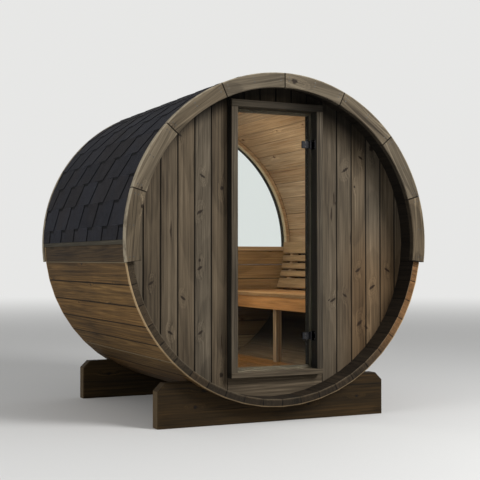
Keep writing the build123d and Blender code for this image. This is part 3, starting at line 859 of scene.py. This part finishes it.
def shingle_material(name, dark, pale, tabbed):
    """Granules a millimetre or two across, and the shade along the edges of the tabs."""
    material, tree, shader = new_material(name)
    x, y, z = object_place(tree)
    _, angle = turn_about_axis(tree, x, z)
    turned = angle.size()
    courses = turned / course_angle
    row = courses.floor()
    down = courses - row
    odd = (row / 2.0).fract() * 2.0
    steps = (y - roof_front) / tab_pitch - 0.78 + odd * 0.5
    column = (steps + 0.5).floor()
    from_middle = (steps - column) * tab_pitch
    from_upper_middle = (steps.fract() - 0.5) * tab_pitch
    first_chance, second_chance, _ = dice(tree, row * 17.0 + column + angle.above(0.0) * 400.0)

    # Shade lies along a tab's front slant, and under the front half of the tab above
    beside = from_middle * -1.0 + down * 0.0635 - 0.1575
    slant = beside.over(-0.0005, 0.0005) * beside.over(0.012, 0.017, 1.0, 0.0)
    under = down.over(0.10, 0.13, 1.0, 0.0)
    tab_foot = tab_bottom_width / 2
    under = under * from_upper_middle.above(-tab_foot) * from_upper_middle.over(0.0, 0.03, 1.0, 0.0)

    # The rear half of each lower edge and the strip below it are painted lighter, a painted highlight that
    # lifts them out of their shade
    lit_edge = down.over(0.985, 0.992) * from_middle.over(0.0, 0.03) * 0.9
    lit_strip = down.over(0.03, 0.07, 1.0, 0.0) * from_upper_middle.over(0.0, 0.03) * 0.3
    lit_strip = lit_strip * from_upper_middle.calc("LESS_THAN", tab_foot)

    # Shade also lies beside the strip along the top, and between its lengths
    past_ridge = turned.over(ridge_cap_edge, ridge_cap_edge + 0.04)
    beside_ridge = past_ridge * turned.over(6.8, 7.0, 1.0, 0.0)
    ridge_steps = (y - roof_front) / ridge_piece
    on_ridge = turned.over(ridge_cap_edge, ridge_cap_edge + 0.04, 1.0, 0.0)
    ridge_joint = (ridge_steps.fract() - 0.5).size().over(0.484, 0.492) * on_ridge
    shade = slant.calc("MAXIMUM", under) * tabbed
    shade = shade.calc("MAXIMUM", beside_ridge).calc("MAXIMUM", ridge_joint)

    # Granules, a random tone for each tab, and blotches where the slate has faded
    grain = tree.nodes.new("ShaderNodeTexVoronoi")
    grain.inputs["Scale"].default_value = granules_per_metre
    place = vector(tree, x, y, z)
    feed(tree, grain.inputs["Vector"], place)
    speck, _, _ = parts_of(tree, Signal(tree, grain.outputs["Color"]))
    blotch = noise(tree, shaded(tree, place, 14.0), 4.0, 0.6)
    tone = (speck - 0.5) * 0.9 + (blotch - 0.5) * 0.7 + (first_chance - 0.5) * 0.3 + 0.45
    colour = mixed(tree, tone.over(0.0, 1.0), paint(*dark), paint(*pale))
    faded = noise(tree, shaded(tree, place, 4.5), 2.0) * 0.7 + second_chance * 0.3
    warmer = mixed(tree, 1.0, colour, (1.05, 0.96, 0.86, 1.0), "MULTIPLY")
    colour = mixed(tree, faded.over(0.42, 0.62), colour, warmer)
    colour = shaded(tree, colour, lit_edge.calc("MAXIMUM", lit_strip) * tabbed + 1.0)
    colour = mixed(tree, shade * 0.95, colour, paint(6, 6, 8))
    finish_of(tree, shader, colour, speck * 0.15 + 0.8, speck * 0.0006, 0.1)
    return material


charcoal, pale_slate = (23, 23, 27), (51, 52, 59)
shingles = shingle_material("charcoal shingle granules", charcoal, pale_slate, 1.0)
dress(shingles, "shingle_tabs_left", "shingle_tabs_right", "roof_felt_left", "roof_felt_right")
ridge = shingle_material("charcoal ridge granules", charcoal, pale_slate, 0.0)
dress(ridge, "ridge_cap")
print("roof dressed")

# %% [markdown]
# ## Laths along the roof's lower edges
# A thin lath is nailed along each lower edge of the roof, so that the last shingles don't lift in the wind.
# It could be a plain box, but a box has knife-sharp edges that no worn timber has. A superellipse gives a
# section that is nearly a rectangle and has soft corners, and it is carried along the barrel and drawn in a
# little at both ends.


# %% A lath from a superellipse
def along_barrel(tree, x, y, z):
    """A single timber that runs the barrel's length."""
    return dict(Along=y, Across=z, Through=x, Board=x.above(0.0) + 400.0, Half_Width=no_neighbour)


def roof_lath(name, side, half_height=0.0135, half_depth=0.0042):
    """A thin lath on the first stave under the roof, its corners worn round.

    Its section is a superellipse: each corner of the section lies where the eighth power of the share of the
    half height and the eighth power of the share of the half depth add up to one. Over the last two
    millimetres at each end both shares shrink a little, as a quarter of a circle does.
    """
    around, worn_length, worn_depth = 40, 0.002, 0.0012
    below_roof, bedding, short_of_roof = 0.0006, 0.0004, 0.0004
    half_run = -roof_front - short_of_roof
    turn = np.linspace(0, 2 * np.pi, around + 1)[:-1]
    high = np.sign(np.sin(turn)) * np.abs(np.sin(turn)) ** 0.25
    deep = np.sign(np.cos(turn)) * np.abs(np.cos(turn)) ** 0.25
    from_end = np.array([0.0, 0.0003, 0.0010, worn_length])
    shrink = worn_depth * (1 - np.sqrt(1 - (1 - from_end / worn_length) ** 2))
    stations = np.concatenate([-half_run + from_end, half_run - from_end[::-1]])
    shrink = np.concatenate([shrink, shrink[::-1]])[:, None]

    # The stave's middle gives the directions out of it and down along it
    middle_angle = math.radians(roof_edge + stave_step / 2)
    outward = np.array([side * math.sin(middle_angle), math.cos(middle_angle)])
    downward = np.array([side * math.cos(middle_angle), -math.sin(middle_angle)])
    stave_corner = np.array([side * shell_radius, axis_height])
    middle = stave_corner + downward * (half_height + below_roof) + outward * (half_depth - bedding)
    lift = (half_height - shrink) * high
    push = (half_depth - shrink) * deep
    across = middle + lift[..., None] * downward + push[..., None] * outward
    along_y = np.broadcast_to(stations[:, None], lift.shape)
    points = np.stack([across[..., 0], along_y, across[..., 1]], -1)

    first_cap = np.arange(around)
    last_cap = first_cap + (len(stations) - 1) * around
    faces = bands(len(stations), around) + [first_cap[::-1].tolist(), last_cap.tolist()]
    if side < 0:
        faces = [corners[::-1] for corners in faces]
    piece = piece_of(name, points, faces, lath_timber)
    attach(piece, "cabin")
    return piece


lath_timber = timber_material(
    "weathered roof lath", along_barrel, lath_grey, Ring_Depth=0.2, Streaks=0.5, Knots=0.1, Cracks=0.5
)
laths = [roof_lath("roof_edge_lath_" + name, side) for name, side in (("left", -1), ("right", 1))]
print("laths:", len(laths))

# %% [markdown]
# ## Glass and steel
# Clear glass needs two answers. The eye's rays should bend and mirror in it, so it is a glass shader. But
# lamps would cast a black shadow behind it, because no lamp ray finds its way through by bending, so for
# shadow rays alone the pane is simply transparent. It bends light less than a real pane does, which keeps
# mirror images of the studio faint. The pane's edges look greener, because one sees along the glass there.
# The hinges are dark metal, brushed in fine lines that blur what they mirror.


# %% The panes
def glass_material(name, tint):
    """Clear glass that lets shadow rays pass, with greener edges on both sides."""
    material, tree, shader = new_material(name)
    turned, _, _ = face_direction(tree)
    edge_tint = tuple(v * s for v, s in zip(tint, (0.45, 0.74, 0.62, 1.0)))
    feed(tree, shader.inputs["Base Color"], mixed(tree, turned.size().above(0.5), tint, edge_tint))
    shader.inputs["Roughness"].default_value = 0.0
    shader.inputs["IOR"].default_value = 1.12
    shader.inputs["Transmission Weight"].default_value = 1.0
    clear = tree.nodes.new("ShaderNodeBsdfTransparent")
    clear.inputs[0].default_value = tint
    path = tree.nodes.new("ShaderNodeLightPath")
    both_shaders(tree, Signal(tree, path.outputs["Is Shadow Ray"]), shader, clear)
    return material


pane = glass_material("clear toughened glass", (0.93, 0.96, 0.95, 1.0))
dress(pane, "door_glass", "window_glass")
print("panes ready")


# %% Satin steel of the hinges
def steel_material(name, colour):
    """Metal with fine level brush marks and soft smudges."""
    material, tree, shader = new_material(name)
    x, y, z = object_place(tree)
    brushed = noise(tree, vector(tree, x * 60.0, y * 60.0, z * 1800.0), 2.0)
    smudge = noise(tree, vector(tree, x * 70.0, y * 70.0, z * 70.0), 3.0)
    shader.inputs["Metallic"].default_value = 1.0
    feed(tree, shader.inputs["Base Color"], shaded(tree, colour, brushed * 0.3 + 0.85))
    feed(tree, shader.inputs["Roughness"], smudge * 0.16 + brushed * 0.08 + 0.10)
    return material


steel = steel_material("dark satin steel", (0.03, 0.03, 0.032))
dress(steel, "hinge_clamps", "hinge_plates")
print("steel ready")

# %% [markdown]
# ## Screws
# The fascia boards are held to the stave ends by two screws at each end and two in the middle, and the hinges
# have a pair of screws in each clamp and each plate. A head is a small turned shape with a six-lobed hollow
# for the driver. It could be a cylinder with a cut, but a profile carried round its own axis needs no
# cutting and has few faces, so that a hundred heads cost next to nothing.

# %% The screws' steel, dark and dull in the hollow
screw_steel, tree, shader = new_material("weathered screw steel")
x, y, z = object_place(tree)
grime = noise(tree, vector(tree, x * 400.0, y * 400.0, z * 400.0), 3.0)
made = tree.nodes.new("ShaderNodeAttribute")
made.attribute_name = "hollow"
inside_hollow = Signal(tree, made.outputs["Fac"])
colour = mixed(tree, grime.over(0.35, 0.65), paint(58, 54, 48), paint(98, 94, 86))
feed(tree, shader.inputs["Base Color"], mixed(tree, inside_hollow, colour, paint(14, 13, 12)))
feed(tree, shader.inputs["Metallic"], inside_hollow * -0.8 + 0.8)
feed(tree, shader.inputs["Roughness"], grime * 0.3 + 0.35)
print("screw steel ready")


# %% Heads as a profile carried round
def screw_heads(name, body, centres, facing, radius, rise):
    """Heads at the given centres, facing one way.

    Each ring's distance from the head's axis is the radius times the profile's first number, and its height
    over the surface is the rise times the second. In the hollow the ring has six lobes, the cosine of six
    times the turn.
    """
    around = 24
    turn = np.linspace(0, 2 * np.pi, around + 1)[:-1]
    profile = np.array([(1.02, -0.4), (1.0, 0.35), (0.88, 1.0), (0.50, 1.0), (0.42, 0.15)])
    ring_count, hollow_floor = len(profile), profile[-1, 1]
    lobes = np.where(np.arange(ring_count)[:, None] >= 3, 0.14 * np.cos(6 * turn), 0.0)
    out = radius * profile[:, :1] * (1 + lobes)
    up = np.broadcast_to(rise * profile[:, 1:], out.shape)
    normal = np.array(facing, float)
    side = np.cross((0, 0, 1), normal)
    rise_way = np.cross(normal, side)
    rings = (
        out[..., None] * np.cos(turn)[None, :, None] * side
        + out[..., None] * np.sin(turn)[None, :, None] * rise_way
        + up[..., None] * normal
    )
    head = np.vstack([rings.reshape(-1, 3), rise * hollow_floor * normal])
    points = np.asarray(centres)[:, None, :] + head[None]

    last_ring = np.arange(around) + (ring_count - 1) * around
    centre = np.full(around, ring_count * around)
    faces = bands(ring_count, around)
    faces += np.stack([last_ring, np.roll(last_ring, -1), centre], 1).tolist()
    all_faces = []
    for number in range(len(centres)):
        all_faces += [[corner + len(head) * number for corner in face] for face in faces]
    piece = piece_of(name, points, all_faces, screw_steel)

    # How deep in the hollow each corner lies, for the material
    hollow = piece.data.attributes.new("hollow", "FLOAT", "POINT")
    depth = np.append(np.repeat([0.0, 0.0, 0.0, 0.15, 1.0], around), 1.0)
    hollow.data.foreach_set("value", np.tile(depth, len(centres)))
    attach(piece, body)


# %% Screws in the fascia boards
fascia_screws = []
inner_row, outer_row = 1.022, 1.046
inset = math.degrees(0.030 / ((inner_row + outer_row) / 2))
for board in range(fascia_count):
    last = fascia_end - fascia_step * board
    first = last - fascia_step
    for turn in (last - inset, first + inset, (last + first) / 2):
        for radius in (inner_row, outer_row):
            angle = math.radians(turn)
            fascia_screws.append((radius * math.sin(angle), axis_height + radius * math.cos(angle)))
for end, face in (("front", -1), ("rear", 1)):
    centres = [(x, face * half_length, z) for x, z in fascia_screws]
    screw_heads(end + "_fascia_screws", "cabin", centres, (0, face, 0), radius=0.0045, rise=0.0004)
print("fascia screws:", 2 * len(fascia_screws))

# %% Screws in the hinges
clamp_low, clamp_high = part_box("hinge_clamps")
plate_low, plate_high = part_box("hinge_plates")
half_hinge, clamp_spread, plate_spread = 0.024, 0.012, 0.020
clamp_middle_x, clamp_face, plate_face, plate_middle_y = 0.256, -0.773, 0.307, -0.802
clamp_centres, plate_centres = [], []
for middle in (clamp_low[2] + half_hinge, clamp_high[2] - half_hinge):
    for rise in (-clamp_spread, clamp_spread):
        clamp_centres.append((clamp_middle_x, clamp_face, middle + rise))
    for rise in (-plate_spread, plate_spread):
        plate_centres.append((plate_face, plate_middle_y, middle + rise))
screw_heads("hinge_clamp_screws", "door_leaf", clamp_centres, (0, -1, 0), radius=0.0042, rise=0.0016)
screw_heads("hinge_plate_screws", "cabin", plate_centres, (-1, 0, 0), radius=0.0040, rise=0.0006)
print("hinge screws:", len(clamp_centres) + len(plate_centres))
print("clamps from", [round(v, 4) for v in clamp_low], "to", [round(v, 4) for v in clamp_high])
print("plates from", [round(v, 4) for v in plate_low], "to", [round(v, 4) for v in plate_high])

# %% [markdown]
# ## Floor, light and camera
# The sauna stands on a plain pale floor that fades into a background of the same colour, so that there is no
# horizon line to catch the eye. A large soft lamp stands to the front right and high, a weaker one to the
# left, and the sky fills the rest. Inside the cabin a small warm lamp shows the room, as one would when the
# sauna is in use.

# %% The floor
backdrop = (0.80, 0.80, 0.79)
floor_reach, floor_height, ring_count, spoke_count = 60.0, -0.0005, 12, 48
reach = np.linspace(0, 1, ring_count) ** 2 * floor_reach
turn = np.linspace(0, 2 * math.pi, spoke_count + 1)[:-1]
rings, spokes = np.meshgrid(reach, turn, indexing="ij")
floor_points = np.stack(
    [rings * np.cos(spokes), rings * np.sin(spokes), np.full_like(rings, floor_height)], -1
)
floor_faces = [corners[::-1] for corners in bands(ring_count, spoke_count)]
floor_material, tree, shader = new_material("pale studio floor")
floor = piece_of("studio_floor", floor_points, floor_faces, floor_material)
print("floor faces:", len(floor_faces))

# %% The floor's paint, which fades into the background
shader.inputs["Base Color"].default_value = (0.72, 0.72, 0.71, 1.0)
shader.inputs["Roughness"].default_value = 0.9
x, y, _ = object_place(tree)
far = distance(x, y).over(5.0, 24.0)
glow = tree.nodes.new("ShaderNodeEmission")
glow.inputs["Color"].default_value = (*backdrop, 1.0)
both_shaders(tree, far, shader, glow)
print("floor ready")

# %% The sky that lights the sauna, and the one that is seen
world = bpy.data.worlds.new("studio")
bpy.context.scene.world = world
world.use_nodes = True
tree = world.node_tree
sky = tree.nodes["Background"]
sky.inputs["Color"].default_value = (1.0, 1.0, 1.0, 1.0)
sky.inputs["Strength"].default_value = 0.38
seen = tree.nodes.new("ShaderNodeBackground")
seen.inputs["Color"].default_value = (*backdrop, 1.0)
path = tree.nodes.new("ShaderNodeLightPath")
seen_by_camera, mirrored, through_glass = [
    Signal(tree, path.outputs[name]) for name in ("Is Camera Ray", "Is Glossy Ray", "Is Transmission Ray")
]
direct = seen_by_camera.calc("MAXIMUM", mirrored).calc("MAXIMUM", through_glass)
both_shaders(tree, direct, sky, seen, "World Output")
bpy.context.scene.view_settings.view_transform = "Standard"
print("sky ready")


# %% Lamps
def soft_lamp(name, place, target, width, height, watts, colour=(1, 1, 1), seen_in_glass=True):
    """A rectangular soft lamp that looks at a target and isn't itself seen."""
    data = bpy.data.lights.new(name, "AREA")
    data.shape = "RECTANGLE"
    data.size, data.size_y, data.energy, data.color = width, height, watts, colour
    lamp = bpy.data.objects.new(name, data)
    bpy.context.scene.collection.objects.link(lamp)
    lamp.location = place
    aim = np.subtract(target, place)
    aim = aim / np.linalg.norm(aim)
    lamp.rotation_euler = (math.acos(-aim[2]), 0, math.atan2(-aim[0], aim[1]))
    lamp.visible_camera = False
    lamp.visible_glossy = seen_in_glass
    lamp.visible_transmission = seen_in_glass


soft_lamp("key", place=(3.6, -6.4, 5.0), target=(0, -0.4, 1.0), width=3.0, height=3.0, watts=560)
soft_lamp("fill", place=(-6.5, -2.5, 3.5), target=(0, 0, 0.9), width=4.0, height=3.0, watts=130)
soft_lamp(
    "cabin", place=(-0.15, 0.00, 1.45), target=(0.75, 0.10, 0.98), width=0.4, height=1.0, watts=7,
    colour=(1.0, 0.97, 0.92), seen_in_glass=False,
)
print("lamps:", len(bpy.data.lights))

# %% Camera
camera_data = bpy.data.cameras.new("camera")
camera_data.sensor_width = 36.0
camera_data.lens = 78.03
camera = bpy.data.objects.new("camera", camera_data)
bpy.context.scene.collection.objects.link(camera)
camera.location = (-3.070, -6.850, 1.043)
# In radians, to the right of straight ahead and above level
yaw, pitch = 0.438, 0.019
camera.rotation_euler = (math.pi / 2 + pitch, 0, -yaw)
bpy.context.scene.camera = camera
print("camera at", tuple(round(v, 3) for v in camera.location))
